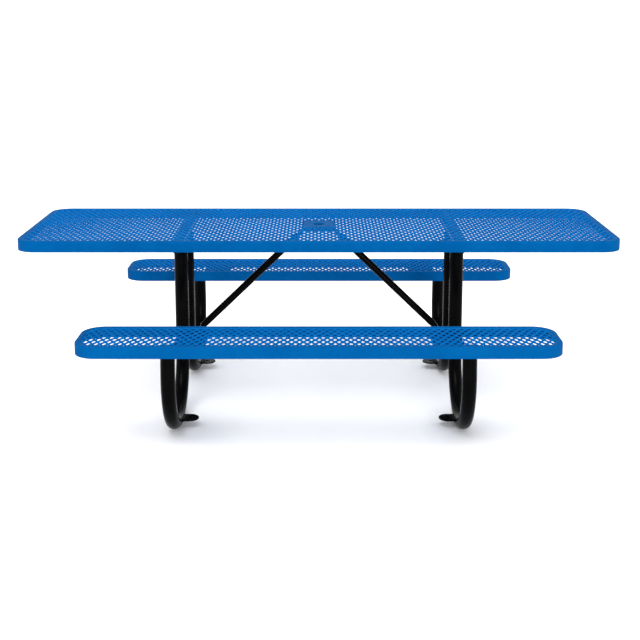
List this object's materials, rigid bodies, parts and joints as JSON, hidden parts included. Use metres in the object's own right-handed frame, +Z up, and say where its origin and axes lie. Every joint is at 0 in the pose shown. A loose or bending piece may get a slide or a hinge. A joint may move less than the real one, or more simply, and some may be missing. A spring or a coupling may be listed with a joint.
{
  "type": "picnic table",
  "caption": "Long rectangular picnic table with two fixed bench seats, coated expanded-metal top and seats with smooth rims, and bent-tube end frames with diagonal braces.",
  "frame": {"origin": "on the ground under the middle of the table top", "axes": "+X along the length of the table, +Y across it towards the back seat, +Z up"},
  "size_m": [2.438, 1.528, 0.768],
  "materials": {
    "blue_coated_steel": "semi-gloss plastisol coating",
    "blue_coated_mesh": "semi-gloss plastisol coating on expanded metal",
    "black_powder_coat": "satin powder coat",
    "zinc_plated_steel": "zinc plated"
  },
  "bodies": {
    "root": {"top_rim": "blue_coated_steel", "umbrella_plate": "blue_coated_steel", "centre_plate": "blue_coated_steel", "top_strap_left": "blue_coated_steel", "top_strap_right": "blue_coated_steel", "top_mesh": "blue_coated_mesh", "front_seat_rim": "blue_coated_steel", "front_seat_mesh": "blue_coated_mesh", "front_seat_plate_left": "blue_coated_steel", "front_seat_plate_right": "blue_coated_steel", "back_seat_rim": "blue_coated_steel", "back_seat_mesh": "blue_coated_mesh", "back_seat_plate_left": "blue_coated_steel", "back_seat_plate_right": "blue_coated_steel", "top_arm_left": "black_powder_coat", "crossbar_left": "black_powder_coat", "bow_front_left": "black_powder_coat", "seat_bracket_front_left": "black_powder_coat", "foot_tab_front_left": "black_powder_coat", "bow_back_left": "black_powder_coat", "seat_bracket_back_left": "black_powder_coat", "foot_tab_back_left": "black_powder_coat", "top_arm_right": "black_powder_coat", "crossbar_right": "black_powder_coat", "bow_front_right": "black_powder_coat", "seat_bracket_front_right": "black_powder_coat", "foot_tab_front_right": "black_powder_coat", "bow_back_right": "black_powder_coat", "seat_bracket_back_right": "black_powder_coat", "foot_tab_back_right": "black_powder_coat", "brace_bracket": "black_powder_coat", "brace_left": "black_powder_coat", "brace_right": "black_powder_coat", "arm_bolt_left_1": "zinc_plated_steel", "arm_bolt_left_2": "zinc_plated_steel", "arm_bolt_left_3": "zinc_plated_steel", "arm_bolt_left_4": "zinc_plated_steel", "seat_bolt_front_left_1": "zinc_plated_steel", "seat_bolt_front_left_2": "zinc_plated_steel", "seat_bolt_back_left_1": "zinc_plated_steel", "seat_bolt_back_left_2": "zinc_plated_steel", "brace_bolt_upper_left": "zinc_plated_steel", "brace_bolt_lower_left": "zinc_plated_steel", "arm_bolt_right_1": "zinc_plated_steel", "arm_bolt_right_2": "zinc_plated_steel", "arm_bolt_right_3": "zinc_plated_steel", "arm_bolt_right_4": "zinc_plated_steel", "seat_bolt_front_right_1": "zinc_plated_steel", "seat_bolt_front_right_2": "zinc_plated_steel", "seat_bolt_back_right_1": "zinc_plated_steel", "seat_bolt_back_right_2": "zinc_plated_steel", "brace_bolt_upper_right": "zinc_plated_steel", "brace_bolt_lower_right": "zinc_plated_steel"}
  },
  "joints": []
}
